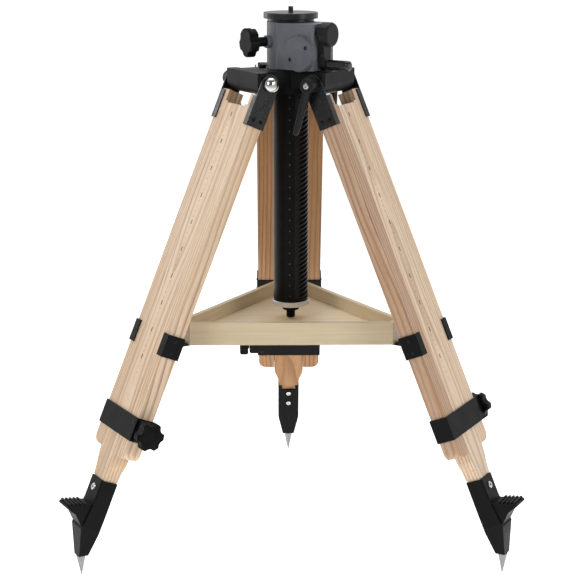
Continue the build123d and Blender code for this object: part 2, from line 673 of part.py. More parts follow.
def tray_walls():
    ring = outline_xy(tray_outline(TRAY_INRADIUS, TRAY_TIP), TRAY_BOTTOM, TRAY_TOP)
    inner = TRAY_INRADIUS - WALL
    ring -= outline_xy(tray_outline(inner, TRAY_TIP - WALL), TRAY_BOTTOM - 1, TRAY_TOP + 1)
    walls = []
    for azimuth in (0, 120, 240):
        reach = 300
        spread = tan(radians(60)) * reach
        wedge = outline_xy([(0, 0), (-spread, -reach), (spread, -reach)], TRAY_BOTTOM - 2, TRAY_TOP + 2)
        walls.append(ring & (Rot(0, 0, azimuth) * wedge))
    return walls


def tray_floor():
    inner = TRAY_INRADIUS - WALL
    return outline_xy(tray_outline(inner, TRAY_TIP - WALL), FLOOR_BOTTOM, FLOOR_TOP)


def tray_stays():
    stays = []
    top = TRAY_BOTTOM
    for name in ("left", "right"):
        strip = block((-10, 10), (-243, -120), (top - 2.4, top))
        stays.append(Rot(0, 0, LEG_AZIMUTHS[name]) * strip)
    leaf = block((-15, 15), (-240, -120), (top - 2.4, top))
    web = block((-15, 15), (-241.5, -238), (top - 2.4, HINGE_Z + 2))
    knuckle = along_x(5.5, -15, 15, -HINGE_RADIUS, HINGE_Z)
    hinge = leaf + web + knuckle - along_x(3.0 + RUNNING, -16, 16, -HINGE_RADIUS, HINGE_Z)
    stays.append(Rot(0, 0, LEG_AZIMUTHS["rear"]) * hinge)
    return stays


def tray_hinge_pin():
    return Rot(0, 0, LEG_AZIMUTHS["rear"]) * along_x(3.0, -22, 22, -HINGE_RADIUS, HINGE_Z)


# Assembly

save("head_crown", on_axis(head_crown()))
save("gear_housing", on_gearbox(gear_housing()))
save("bearing_cap", on_gearbox(bearing_cap()))
save("column_bushes", [on_axis(bush) for bush in column_bushes()])
save("gear_bushes", [on_gearbox(bush) for bush in gear_bushes()])
save("hinge_bolts", [on_axis(bolt) for bolt in hinge_bolts()])
save("dome_nuts", [on_axis(nut) for nut in dome_nuts()])
save("set_screws", [on_gearbox(screw) for screw in set_screws()])
save("bubble_level", on_axis(bubble_level()))

save("column_tube", on_axis(column_tube()))
save("gear_rack", on_gearbox(gear_rack()))
save("top_plate", on_axis(top_plate()))
save("end_ring", on_axis(end_ring()))
save("draw_rod", on_axis(draw_rod()))
save("draw_knob", on_axis(draw_knob()))

save("pinion_shaft", on_gearbox(pinion_shaft()))
save("worm_wheel", on_gearbox(worm_wheel()))
save("worm_shaft", on_gearbox(worm_shaft()))
save("crank_arm", on_gearbox(crank_arm()))
save("grip_spindle", on_gearbox(grip_spindle()))
save("crank_grip", on_gearbox(crank_grip()))

brake_screw, brake_star, brake_pad = brake_parts()
save("brake_screw", on_axis(brake_screw))
save("brake_star", on_axis(brake_star))
save("brake_pad", on_axis(brake_pad))

for name, azimuth in LEG_AZIMUTHS.items():
    save("rails_" + name, [on_leg(rail, azimuth) for rail in leg_rails()])
    save("brackets_" + name, [on_leg(plate, azimuth) for plate in hinge_brackets()])
    save("clamp_band_" + name, on_leg(clamp_band(), azimuth))
    save("tray_clip_" + name, tray_clip(azimuth))
    save("board_" + name, on_leg(leg_board(), azimuth))
    save("foot_" + name, on_leg(foot_shell(), azimuth))
    save("spike_" + name, on_leg(spike(), azimuth))
    save("foot_screws_" + name, [on_leg(screw, azimuth) for screw in foot_screws()])
    save("clamp_knob_" + name, on_leg(clamp_knob(), azimuth))
    save("hinge_lever_" + name, on_leg(clamp_lever(), azimuth))

save("tray_floor", on_axis(tray_floor()))
save("tray_walls", [on_axis(wall) for wall in tray_walls()])
save("tray_stays", [on_axis(stay) for stay in tray_stays()])
save("tray_hinge_pin", on_axis(tray_hinge_pin()))

os.makedirs("parts", exist_ok=True)
for name, shape in pieces.items():
    export_step(shape, f"parts/{name}.step")
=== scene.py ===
import json
from math import cos, pi, radians, sin, tau

import bmesh
import bpy
from mathutils import Matrix, Vector


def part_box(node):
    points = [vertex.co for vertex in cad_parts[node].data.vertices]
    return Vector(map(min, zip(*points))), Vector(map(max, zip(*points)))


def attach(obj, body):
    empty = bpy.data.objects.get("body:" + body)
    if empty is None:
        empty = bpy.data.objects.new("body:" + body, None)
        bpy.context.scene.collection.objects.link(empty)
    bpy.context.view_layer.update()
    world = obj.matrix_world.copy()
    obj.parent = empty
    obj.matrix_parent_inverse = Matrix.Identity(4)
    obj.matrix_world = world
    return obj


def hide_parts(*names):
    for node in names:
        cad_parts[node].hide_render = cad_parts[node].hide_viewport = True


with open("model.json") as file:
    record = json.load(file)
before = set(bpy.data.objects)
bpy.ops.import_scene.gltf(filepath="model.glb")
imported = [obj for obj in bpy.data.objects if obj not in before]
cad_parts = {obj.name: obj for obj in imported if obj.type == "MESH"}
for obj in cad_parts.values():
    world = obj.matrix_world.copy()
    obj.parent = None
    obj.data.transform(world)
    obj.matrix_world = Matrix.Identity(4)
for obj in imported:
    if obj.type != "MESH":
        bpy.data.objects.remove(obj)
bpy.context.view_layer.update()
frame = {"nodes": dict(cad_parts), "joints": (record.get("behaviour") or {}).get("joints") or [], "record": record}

MM = 0.001
LEGS = ("left", "right", "rear")

# The camera, fitted to the photograph: metres from the foot of the tripod's axis, and degrees
CAMERA_LENS = 95.5
CAMERA_PLACE = Vector((-0.0336, -2.7267, 1.144))
CAMERA_PITCH = 14.02
CAMERA_YAW = 0.66

# Sizes of the model that its boxes don't give, in millimetres
STUD_HEIGHT = 10.0
THREAD_PITCH = 1.5875
ROD_STOP_RADIUS = 11
ROD_STOP_THICKNESS = 6
ROD_STOP_DROP = 16
ARM_HUB_HALF = 13.5
ARM_END_HALF = 9.5
CASE_SIDE = 77.0
SCALE_STEP = 10
CLIP_FRONT = -17.5
CLIP_MIDDLE = -480
FOOT_TOP = -742
FOOT_FRONT = -16.5
FOOT_BACK = 16.0
LEVER_HUB_END = -87.0
TUBE_DOT_STEP = 20

# Faces that meet at more than this many degrees stay a sharp edge
SHARP = 32

joints = {joint["name"]: joint for joint in frame["joints"]}


# Places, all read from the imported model


def middle(node):
    low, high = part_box(node)
    return (low + high) / 2


def size(node):
    low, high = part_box(node)
    return high - low


def from_axes(x_axis, y_axis, z_axis, origin):
    turn = Matrix((x_axis, y_axis, z_axis)).transposed()
    return Matrix.Translation(origin) @ turn.to_4x4()


def leg_place(name):
    """Leg coordinates to the row frame: X across the leg, Y inwards, Z up, origin on the hinge."""
    across = Vector(joints["leg_swing_" + name]["axis"])
    up = -Vector(joints["board_slide_" + name]["axis"])
    return from_axes(across, up.cross(across), up, joints["leg_swing_" + name]["pos_m"])


TRIPOD_AXIS = middle("column_tube")
AXIS_FOOT = Vector((TRIPOD_AXIS.x, TRIPOD_AXIS.y, 0))
CRANK_AXIS = Vector(joints["crank_turn"]["axis"])
GEAR_AXIS = Vector(joints["lift_gear_turn"]["axis"])
GEARBOX = from_axes(CRANK_AXIS, GEAR_AXIS, Vector((0, 0, 1)), AXIS_FOOT)
LEG = {name: leg_place(name) for name in LEGS}
UPRIGHT = Matrix.Translation(AXIS_FOOT)


def leg_box(node, name):
    """Lowest and highest corners of a node in its leg's own coordinates."""
    into = LEG[name].inverted()
    corners = [into @ vertex.co for vertex in frame["nodes"][node].data.vertices]
    low = Vector([min(corner[axis] for corner in corners) for axis in range(3)])
    high = Vector([max(corner[axis] for corner in corners) for axis in range(3)])
    return low, high


# Camera, lights and floor


def look_at(thing, target):
    direction = Vector(target) - thing.location
    thing.rotation_euler = direction.to_track_quat("-Z", "Y").to_euler()


def make_camera():
    """The photograph's view: from the front, a little above the head, with a long lens."""
    data = bpy.data.cameras.new("camera")
    data.lens = CAMERA_LENS
    data.sensor_width = 36
    camera = bpy.data.objects.new("camera", data)
    camera.location = AXIS_FOOT + CAMERA_PLACE
    camera.rotation_euler = (radians(90 - CAMERA_PITCH), 0, radians(-CAMERA_YAW))
    bpy.context.scene.collection.objects.link(camera)
    bpy.context.scene.camera = camera


def area_light(name, location, width, height, watts, colour=(1, 1, 1)):
    data = bpy.data.lights.new(name, "AREA")
    data.shape = "RECTANGLE"
    data.size = width
    data.size_y = height
    data.energy = watts
    data.color = colour
    light = bpy.data.objects.new(name, data)
    light.location = location
    look_at(light, AXIS_FOOT + Vector((0, 0, 0.5)))
    bpy.context.scene.collection.objects.link(light)


def make_studio():
    area_light("key", (-1.7, -2.3, 2.3), 1.3, 1.0, 33, (1.0, 0.985, 0.96))
    area_light("fill", (2.3, -1.9, 1.5), 0.9, 1.3, 24, (0.97, 0.985, 1.0))
    area_light("overhead", (0.1, 0.4, 2.7), 1.8, 1.4, 20)
    area_light("edge", (-1.9, 1.3, 1.4), 0.5, 1.6, 10)
    make_world()
    bpy.context.scene.view_settings.view_transform = "Standard"


def make_world():
    """Surroundings of a studio: dark behind the camera, bright behind the object."""
    world = bpy.data.worlds.new("studio")
    world.use_nodes = True
    nodes, links = world.node_tree.nodes, world.node_tree.links
    background = nodes["Background"]
    background.inputs["Color"].default_value = (1, 1, 1, 1)
    split = nodes.new("ShaderNodeSeparateXYZ")
    links.new(nodes.new("ShaderNodeTexCoord").outputs["Generated"], split.inputs["Vector"])
    depth = nodes.new("ShaderNodeMapRange")
    links.new(split.outputs["Y"], depth.inputs["Value"])
    settings = {"From Min": -0.5, "From Max": 0.8, "To Min": 0.09, "To Max": 0.85}
    for key, value in settings.items():
        depth.inputs[key].default_value = value
    links.new(depth.outputs["Result"], background.inputs["Strength"])
    bpy.context.scene.world = world


def make_floor():
    mesh = bpy.data.meshes.new("floor")
    reach = 60.0
    mesh.from_pydata(
        [(-reach, -reach, 0), (reach, -reach, 0), (reach, reach, 0), (-reach, reach, 0)],
        [],
        [(0, 1, 2, 3)],
    )
    floor = bpy.data.objects.new("floor", mesh)
    bpy.context.scene.collection.objects.link(floor)
    shader = Shader("floor_white")
    shader.surface.inputs["Base Color"].default_value = (0.9, 0.9, 0.9, 1)
    shader.surface.inputs["Roughness"].default_value = 0.9
    shader.surface.inputs["Emission Color"].default_value = (1, 1, 1, 1)
    depth = shader.add("ShaderNodeSeparateXYZ", {"Vector": shader.place}).outputs["Y"]
    shader.set(Emission_Strength=shader.spread(depth, -1.7, -0.6, 0.10, 0.68))
    mesh.materials.append(shader.material)


# Materials


class Shader:
    """A material being built: its Principled shader, and textures placed in the row frame."""

    def __init__(self, name):
        self.material = bpy.data.materials.new(name)
        self.material.use_nodes = True
        self.nodes = self.material.node_tree.nodes
        self.links = self.material.node_tree.links
        self.surface = self.nodes["Principled BSDF"]
        self.place = self.add("ShaderNodeTexCoord").outputs["Object"]

    def feed(self, socket, value):
        if isinstance(value, bpy.types.NodeSocket):
            self.links.new(value, socket)
        else:
            socket.default_value = value

    def add(self, kind, inputs=None, **settings):
        node = self.nodes.new(kind)
        for key, value in settings.items():
            setattr(node, key, value)
        for key, value in (inputs or {}).items():
            self.feed(node.inputs[key], value)
        return node

    def set(self, **values):
        for key, value in values.items():
            self.feed(self.surface.inputs[key.replace("_", " ")], value)

    def mapped(self, vector, scale=(1, 1, 1), offset=(0, 0, 0)):
        inputs = {"Vector": vector, "Scale": scale, "Location": offset}
        return self.add("ShaderNodeMapping", inputs).outputs["Vector"]

    def inside(self, place, vector=None):
        """Texture coordinates in a part's own frame, given by its matrix."""
        inputs = {
            "Vector": vector or self.place,
            "Location": place.to_translation(),
            "Rotation": place.to_euler(),
        }
        return self.add("ShaderNodeMapping", inputs, vector_type="TEXTURE").outputs["Vector"]

    def noise(self, vector, scale, detail=3.0, roughness=0.5, distortion=0.0):
        inputs = {
            "Vector": vector,
            "Scale": scale,
            "Detail": detail,
            "Roughness": roughness,
            "Distortion": distortion,
        }
        return self.add("ShaderNodeTexNoise", inputs).outputs["Fac"]

    def cells(self, vector, scale, feature="SMOOTH_F1"):
        inputs = {"Vector": vector, "Scale": scale}
        return self.add("ShaderNodeTexVoronoi", inputs, feature=feature).outputs["Distance"]

    def sum(self, operation, first, second=0.0, third=0.0):
        node = self.add("ShaderNodeMath", operation=operation)
        for socket, value in zip(node.inputs, (first, second, third)):
            self.feed(socket, value)
        return node.outputs["Value"]

    def spread(self, value, low, high, new_low=0.0, new_high=1.0):
        inputs = {
            "Value": value,
            "From Min": low,
            "From Max": high,
            "To Min": new_low,
            "To Max": new_high,
        }
        return self.add("ShaderNodeMapRange", inputs, clamp=True).outputs["Result"]

    def blend(self, factor, first, second, mode="MIX"):
        node = self.add("ShaderNodeMix", data_type="RGBA", blend_type=mode)
        self.feed(node.inputs["Factor"], factor)
        for socket, value in ((node.inputs[6], first), (node.inputs[7], second)):
            self.feed(socket, (*value, 1) if isinstance(value, tuple) and len(value) == 3 else value)
        return node.outputs[2]

    def rounded(self, radius):
        return self.add("ShaderNodeBevel", {"Radius": radius}, samples=4).outputs["Normal"]

    def edges(self, radius):
        """1 on edges that wear would catch, 0 on flat faces."""
        flat = self.add("ShaderNodeNewGeometry").outputs["Normal"]
        inputs = {0: self.rounded(radius), 1: flat}
        dot = self.add("ShaderNodeVectorMath", inputs, operation="DOT_PRODUCT").outputs["Value"]
        return self.spread(dot, 0.97, 0.8)

    def bump(self, height, distance, strength=1.0, normal=None):
        inputs = {"Height": height, "Distance": distance, "Strength": strength}
        if normal is not None:
            inputs["Normal"] = normal
        return self.add("ShaderNodeBump", inputs).outputs["Normal"]


def painted(name, colour, roughness, peel, depth, worn, wear=0.5, shine=0.2, edge=0.6 * MM):
    """Paint or powder coat: fine orange peel of one size and depth, rubbed lighter on the edges."""
    shader = Shader(name)
    mottle = shader.noise(shader.place, 26, 4)
    dust = shader.noise(shader.place, 900, 2)
    darker = tuple(0.72 * channel for channel in colour)
    base = shader.blend(shader.spread(mottle, 0.3, 0.7), darker, colour)
    patches = shader.spread(shader.noise(shader.place, 210, 3), 0.38, 0.62)
    rub = shader.sum("MULTIPLY", shader.edges(edge), patches)
    base = shader.blend(shader.sum("MULTIPLY", rub, wear), base, worn)
    grain = shader.noise(shader.place, 1 / peel, 2, 0.6)
    height = shader.sum("MULTIPLY_ADD", dust, 0.25, grain)
    rough = shader.spread(mottle, 0.25, 0.75, roughness - 0.07, roughness + 0.09)
    shader.set(Base_Color=base, Roughness=rough)
    shader.set(Normal=shader.bump(height, depth, 1.0, shader.rounded(edge)))
    shader.surface.inputs["Specular IOR Level"].default_value = shine
    return shader.material


def hammered(name, colour, cell, depth):
    """Hammer-finish enamel: glossy dimples with paler rims."""
    shader = Shader(name)
    warp = shader.noise(shader.place, 60, 2)
    dimple = shader.cells(shader.place, 1 / cell)
    height = shader.sum("MULTIPLY_ADD", warp, 0.3, dimple)
    pale = tuple(min(1, 5.0 * channel + 0.01) for channel in colour)
    tint = shader.blend(shader.spread(dimple, 0.45, 0.85, 0, 0.75), colour, pale)
    tint = shader.blend(shader.sum("MULTIPLY", shader.edges(0.8 * MM), 0.4), tint, (0.11, 0.11, 0.12))
    shader.set(Base_Color=tint, Roughness=shader.spread(warp, 0.3, 0.7, 0.22, 0.38))
    shader.set(Normal=shader.bump(height, depth, 0.9, shader.rounded(0.8 * MM)))
    shader.surface.inputs["Specular IOR Level"].default_value = 0.35
    return shader.material


def metal(name, colour, roughness, place, along, across, depth, edge=0.3 * MM, metallic=1.0, shine=0.5):
    """Bare metal with tool marks: fine along one direction of its own frame, coarse across."""
    shader = Shader(name)
    local = shader.inside(place)
    marks = shader.noise(shader.mapped(local, (across, across, along)), 1, 4, 0.65)
    cloud = shader.noise(shader.place, 55, 3)
    darker = tuple(0.78 * channel for channel in colour)
    base = shader.blend(shader.spread(cloud, 0.3, 0.7), darker, colour)
    rough = shader.spread(cloud, 0.2, 0.8, roughness - 0.1, roughness + 0.04)
    rough = shader.sum("MULTIPLY_ADD", marks, 0.16, rough)
    shader.set(Base_Color=base, Roughness=rough)
    shader.surface.inputs["Metallic"].default_value = metallic
    shader.surface.inputs["Specular IOR Level"].default_value = shine
    shader.set(Normal=shader.bump(marks, depth, 0.7, shader.rounded(edge)))
    return shader.material


def turned(name, colour, roughness, place, pitch, depth, metallic=1.0, edge=0.4 * MM):
    """Metal faced on a lathe: fine rings round its own Z axis."""
    shader = Shader(name)
    local = shader.inside(place)
    split = shader.add("ShaderNodeSeparateXYZ", {"Vector": local})
    flat = shader.add("ShaderNodeCombineXYZ", {"X": split.outputs["X"], "Y": split.outputs["Y"]})
    radius = shader.add("ShaderNodeVectorMath", {0: flat.outputs["Vector"]}, operation="LENGTH")
    ring_place = shader.add("ShaderNodeCombineXYZ", {"X": radius.outputs["Value"], "Y": split.outputs["Z"]})
    rings = shader.noise(ring_place.outputs["Vector"], 1 / pitch, 3, 0.6)
    cloud = shader.noise(shader.place, 40, 3)
    darker = tuple(0.7 * channel for channel in colour)
    base = shader.blend(shader.spread(rings, 0.3, 0.7), darker, colour)
    base = shader.blend(shader.sum("MULTIPLY", shader.edges(edge), 0.5), base, (0.5, 0.5, 0.5))
    rough = shader.spread(cloud, 0.2, 0.8, roughness - 0.1, roughness + 0.03)
    rough = shader.sum("MULTIPLY_ADD", rings, 0.14, rough)
    shader.set(Base_Color=base, Roughness=rough)
    shader.surface.inputs["Metallic"].default_value = metallic
    shader.set(Normal=shader.bump(rings, depth, 0.8, shader.rounded(edge)))
    return shader.material


def plastic(name, colour, roughness, shine=0.25, edge=0.8 * MM):
    """Moulded plastic: a fine spark-eroded texture, shinier where hands rub the edges."""
    shader = Shader(name)
    grain = shader.noise(shader.place, 1400, 2, 0.6)
    cloud = shader.noise(shader.place, 70, 3)
    lighter = tuple(min(1, 1.5 * channel + 0.004) for channel in colour)
    base = shader.blend(shader.spread(cloud, 0.35, 0.65), colour, lighter)
    rubbed = shader.edges(edge)
    rough = shader.spread(cloud, 0.25, 0.75, roughness - 0.05, roughness + 0.08)
    rough = shader.sum("MULTIPLY_ADD", rubbed, -0.12, rough)
    shader.set(Base_Color=base, Roughness=rough)
    shader.set(Normal=shader.bump(grain, 0.05 * MM, 0.6, shader.rounded(edge)))
    shader.surface.inputs["Specular IOR Level"].default_value = shine
    return shader.material


def planks(name, place, shift, pale, dark, ring, contrast=1.0, split=True, uneven=0.0, polish=0.42):
    """Open-grained wood sawn flat: growth rings, fibres and pores along Z of the part's frame.

    Where split is true, the pieces on each side of X = 0 come from different boards, and the one
    at negative X is browner by uneven."""
    shader = Shader(name)
    local = shader.inside(place)
    apart = shader.add("ShaderNodeSeparateXYZ", {"Vector": local})
    side = shader.sum("SIGN", apart.outputs["X"]) if split else 0.0
    shifted = shader.add("ShaderNodeCombineXYZ")
    shader.feed(shifted.inputs["X"], shader.sum("MULTIPLY_ADD", side, 0.021, apart.outputs["X"]))
    shader.feed(shifted.inputs["Y"], shader.sum("MULTIPLY_ADD", side, 0.009, apart.outputs["Y"]))
    shader.feed(shifted.inputs["Z"], shader.sum("MULTIPLY_ADD", side, 0.83, apart.outputs["Z"]))
    board = shader.mapped(shifted.outputs["Vector"], offset=(0, 0, shift))

    wander = shader.noise(shader.mapped(board, (7, 7, 1.6)), 1, 2, 0.4)
    ripple = shader.noise(shader.mapped(board, (60, 60, 5)), 1, 2, 0.5)
    heart = shader.add("ShaderNodeSeparateXYZ", {"Vector": board})
    flat = shader.add("ShaderNodeCombineXYZ", {"X": heart.outputs["X"]})
    shader.feed(flat.inputs["Y"], shader.sum("ADD", heart.outputs["Y"], 0.052))
    radius = shader.add("ShaderNodeVectorMath", {0: flat.outputs["Vector"]}, operation="LENGTH")
    grown = shader.sum("MULTIPLY_ADD", wander, 0.042, radius.outputs["Value"])
    grown = shader.sum("MULTIPLY_ADD", ripple, 0.0035, grown)
    phase = shader.sum("FRACT", shader.sum("DIVIDE", grown, ring))
    late = shader.spread(phase, 0.5, 0.96)
    late = shader.sum("MULTIPLY", late, shader.spread(phase, 1.0, 0.95))
    strength = shader.spread(shader.noise(shader.mapped(board, (30, 30, 2)), 1, 2), 0.3, 0.7, 0.35, 1.0)
    late = shader.sum("MULTIPLY", late, shader.sum("MULTIPLY", strength, contrast))

    fibre = shader.noise(shader.mapped(board, (900, 900, 14)), 1, 3, 0.6)
    streak = shader.noise(shader.mapped(board, (130, 130, 3)), 1, 3, 0.6)
    pore = shader.noise(shader.mapped(board, (2100, 2100, 70)), 1, 1, 0.5)
    pore = shader.sum("MULTIPLY", shader.spread(pore, 0.6, 0.7), shader.spread(phase, 0.5, 0.1))

    tone = shader.blend(late, pale, dark)
    warm = tuple(channel * share for channel, share in zip(pale, (0.84, 0.68, 0.52)))
    tone = shader.blend(shader.spread(streak, 0.45, 0.72, 0, 0.85), tone, warm)
    tone = shader.blend(shader.spread(fibre, 0.35, 0.7, 0.0, 0.22), tone, dark)
    deep = tuple(channel * 0.45 for channel in dark)
    tone = shader.blend(shader.sum("MULTIPLY", pore, 0.55), tone, deep)
    if split:
        tone = shader.blend(shader.spread(side, -1, 1, uneven, 0.0), tone, (0.60, 0.47, 0.40), "MULTIPLY")
    # Darker on the edges: painted shade in the seams where rails and board meet, and grime on the edges.
    seam_shade_and_grime = shader.sum("MULTIPLY", shader.edges(0.7 * MM), 0.3)
    tone = shader.blend(seam_shade_and_grime, tone, dark)

    height = shader.sum("MULTIPLY_ADD", pore, -0.9, shader.sum("MULTIPLY_ADD", late, 0.5, fibre))
    rough = shader.spread(fibre, 0.25, 0.75, polish - 0.06, polish + 0.12)
    shader.set(Base_Color=tone, Roughness=rough)
    shader.set(Normal=shader.bump(height, 0.07 * MM, 0.7, shader.rounded(0.9 * MM)))
    shader.surface.inputs["Specular IOR Level"].default_value = 0.35
    return shader.material


def plywood(name, pale, dark, stretch, polish=0.4):
    """Varnished birch: faint figure, finest across the given stretch, with small flecks."""
    shader = Shader(name)
    figure = shader.noise(shader.mapped(shader.place, stretch), 1, 4, 0.55, 0.6)
    cloud = shader.noise(shader.place, 9, 3)
    fleck = shader.noise(shader.mapped(shader.place, tuple(5 * share for share in stretch)), 1, 2)
    fine = shader.noise(shader.place, 1300, 2)
    tone = shader.blend(shader.spread(figure, 0.35, 0.7, 0, 0.6), pale, dark)
    tone = shader.blend(shader.spread(cloud, 0.35, 0.7, 0, 0.3), tone, dark)
    tone = shader.blend(shader.spread(fleck, 0.62, 0.75, 0, 0.35), tone, dark)
    edge_tone = tuple(min(1, 1.08 * channel) for channel in pale)
    tone = shader.blend(shader.sum("MULTIPLY", shader.edges(0.8 * MM), 0.7), tone, edge_tone)
    height = shader.sum("MULTIPLY_ADD", fine, 0.3, figure)
    shader.set(Base_Color=tone, Roughness=shader.spread(cloud, 0.3, 0.7, polish - 0.05, polish + 0.1))
    shader.set(Normal=shader.bump(height, 0.05 * MM, 0.5, shader.rounded(0.8 * MM)))
    shader.surface.inputs["Coat Weight"].default_value = 0.15
    shader.surface.inputs["Coat Roughness"].default_value = 0.25
    return shader.material


def glass(name, colour):
    shader = Shader(name)
    swirl = shader.noise(shader.place, 160, 2)
    deep = tuple(0.8 * channel for channel in colour)
    shader.set(Base_Color=shader.blend(shader.spread(swirl, 0.4, 0.6), colour, deep))
    shader.set(Roughness=shader.spread(swirl, 0.3, 0.7, 0.04, 0.1))
    shader.surface.inputs["Coat Weight"].default_value = 1.0
    shader.surface.inputs["Coat Roughness"].default_value = 0.03
    return shader.material


def ink(name, colour):
    """Printed marks, a little worn and uneven."""
    shader = Shader(name)
    patch = shader.noise(shader.place, 1500, 2)
    faded = tuple(min(1, 3.2 * channel + 0.02) for channel in colour)
    shader.set(Base_Color=shader.blend(shader.spread(patch, 0.45, 0.7, 0, 0.8), colour, faded))
    shader.set(Roughness=shader.spread(patch, 0.3, 0.7, 0.5, 0.7))
    return shader.material


# Mesh tools: every outline is built in millimetres in a part's own frame


def lathe(profile, segments=48, reach=None):
    """Closed solid of (radius, height) points turned about Z; reach(angle, height, radius) may
    change a point's radius."""
    mesh = bmesh.new()
    rings = []
    for radius, height in profile:
        if radius < 1e-6:
            rings.append([mesh.verts.new((0, 0, height))])
            continue
        ring = []
        for index in range(segments):
            angle = tau * index / segments
            r = radius if reach is None else reach(angle, height, radius)
            ring.append(mesh.verts.new((r * cos(angle), r * sin(angle), height)))
        rings.append(ring)
    for lower, upper in zip(rings, rings[1:]):
        for index in range(segments):
            after = (index + 1) % segments
            corners = [lower[index % len(lower)], lower[after % len(lower)]]
            corners += [upper[after % len(upper)], upper[index % len(upper)]]
            corners = list(dict.fromkeys(corners))
            if len(corners) > 2:
                mesh.faces.new(corners)
    for ring, flip in ((rings[0], True), (rings[-1], False)):
        if len(ring) > 1:
            mesh.faces.new(list(reversed(ring)) if flip else ring)
    bmesh.ops.recalc_face_normals(mesh, faces=mesh.faces)
    return mesh


def slab(outline, low, high, edge=0.0):
    """Prism of an outline in XY from low to high, with its edges rounded by edge."""
    mesh = bmesh.new()
    bottom = [mesh.verts.new((x, y, low)) for x, y in outline]
    face = mesh.faces.new(bottom)
    moved = bmesh.ops.extrude_face_region(mesh, geom=[face])["geom"]
    corners = [item for item in moved if isinstance(item, bmesh.types.BMVert)]
    bmesh.ops.translate(mesh, verts=corners, vec=(0, 0, high - low))
    bmesh.ops.recalc_face_normals(mesh, faces=mesh.faces)
    if edge:
        bmesh.ops.bevel(mesh, geom=mesh.edges[:], offset=edge, segments=2, affect="EDGES", profile=0.5)
    return mesh


def join(meshes):
    """One bmesh from several (bmesh, matrix) pairs."""
    whole = bmesh.new()
    for part, place in meshes:
        held = bpy.data.meshes.new("held")
        part.to_mesh(held)
        held.transform(place)
        whole.from_mesh(held)
        bpy.data.meshes.remove(held)
        part.free()
    return whole


def add_piece(name, body, material, meshes, place, replaced=()):
    """A piece of one or more solids, in millimetres in the frame given by place."""
    whole = join(meshes)
    whole.transform(place @ Matrix.Diagonal((MM, MM, MM, 1)))
    mesh = bpy.data.meshes.new(name)
    whole.to_mesh(mesh)
    whole.free()
    mesh.materials.append(material)
    piece = bpy.data.objects.new(name, mesh)
    bpy.context.scene.collection.objects.link(piece)
    for polygon in mesh.polygons:
        polygon.use_smooth = True
    mesh.set_sharp_from_angle(angle=radians(SHARP))
    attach(piece, body)
    if replaced:
        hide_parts(*replaced)
    return piece


def at(x, y, z, facing="+Z"):
    """Place at a point, with the mesh's +Z turned to face an axis."""
    turns = {
        "+Z": Matrix.Identity(4),
        "-Z": Matrix.Rotation(pi, 4, "X"),
        "+X": Matrix.Rotation(pi / 2, 4, "Y"),
        "-X": Matrix.Rotation(-pi / 2, 4, "Y"),
        "+Y": Matrix.Rotation(-pi / 2, 4, "X"),
        "-Y": Matrix.Rotation(pi / 2, 4, "X"),
    }
    return Matrix.Translation((x, y, z)) @ turns[facing]


def socket_head(radius, height, bore=0.5, depth=0.75):
    """Round screw head with a hexagon socket, standing on z = 0."""
    inner = radius * bore
    profile = [
        (radius * 0.94, 0),
        (radius, height * 0.12),
        (radius, height * 0.6),
        (radius * 0.9, height * 0.92),
        (radius * 0.72, height),
        (inner * 1.12, height),
        (inner, height * 0.95),
        (inner, height * (1 - depth)),
        (0, height * (1 - depth) - 0.2 * inner),
    ]

    def reach(angle, level, r):
        if r > inner * 1.01:
            return r
        return r * cos(pi / 6) / cos((angle + pi / 6) % (pi / 3) - pi / 6)

    return lathe(profile, 48, reach)


def dome_head(radius, height, slot=True):
    """Pan head with a cross recess, standing on z = 0."""
    mesh = bmesh.new()
    rings = []
    count, segments = 11, 48
    for index in range(count + 1):
        share = index / count
        r = radius * (1 - share)
        ring = []
        for step in range(segments if index < count else 1):
            angle = tau * step / segments
            x, y = r * cos(angle), r * sin(angle)
            level = height * (1 - (r / radius) ** 2.6)
            arm = min(abs(x), abs(y)) < radius * 0.15 and max(abs(x), abs(y)) < radius * 0.62
            if slot and arm and index > 2:
                level -= height * 0.55
            ring.append(mesh.verts.new((x, y, level)))
        rings.append(ring)
    for lower, upper in zip(rings, rings[1:]):
        for step in range(segments):
            after = (step + 1) % segments
            corners = [lower[step], lower[after], upper[after % len(upper)], upper[step % len(upper)]]
            mesh.faces.new(list(dict.fromkeys(corners)))
    mesh.faces.new(list(reversed(rings[0])))
    return mesh


def rivet(radius, height):
    steps = 6
    dome = [(radius * cos(pi / 2 * i / steps), height * sin(pi / 2 * i / steps)) for i in range(steps)]
    return lathe([(radius, -0.2)] + dome + [(0, height)], 32)


# Finishes of the CAD nodes


def wear_in(node, material):
    """Give a CAD node its finish."""
    thing = frame["nodes"][node]
    thing.data.materials.clear()
    thing.data.materials.append(material)


def grey(level):
    return (level, level, level)


HEAD_TOP = UPRIGHT @ Matrix.Translation((0, 0, size("top_plate").z))
CAST = painted("cast_paint", (0.009, 0.009, 0.0095), 0.46, 1.3 * MM, 0.08 * MM, grey(0.10), 0.4, 0.12)
SLATE = painted("slate_paint", (0.170, 0.176, 0.200), 0.50, 1.1 * MM, 0.07 * MM, (0.30, 0.31, 0.34), 0.4, 0.3)
SLATE_CAP = painted("slate_cap", (0.135, 0.144, 0.166), 0.46, 0.9 * MM, 0.05 * MM, grey(0.02), 0.9, 0.3)
SHEET = painted(
    "sheet_paint", (0.006, 0.006, 0.0062), 0.42, 0.8 * MM, 0.03 * MM, (0.16, 0.16, 0.17), 0.5, 0.1
)
FOOT_PAINT = painted("foot_paint", (0.003, 0.003, 0.0033), 0.44, 1.0 * MM, 0.05 * MM, grey(0.07), 0.4, 0.12)
LEVER_PAINT = painted("lever_paint", (0.013, 0.013, 0.014), 0.44, 0.9 * MM, 0.04 * MM, grey(0.10), 0.4, 0.2)
HAMMERED = hammered("hammered_enamel", (0.006, 0.0063, 0.007), 2.6 * MM, 0.30 * MM)
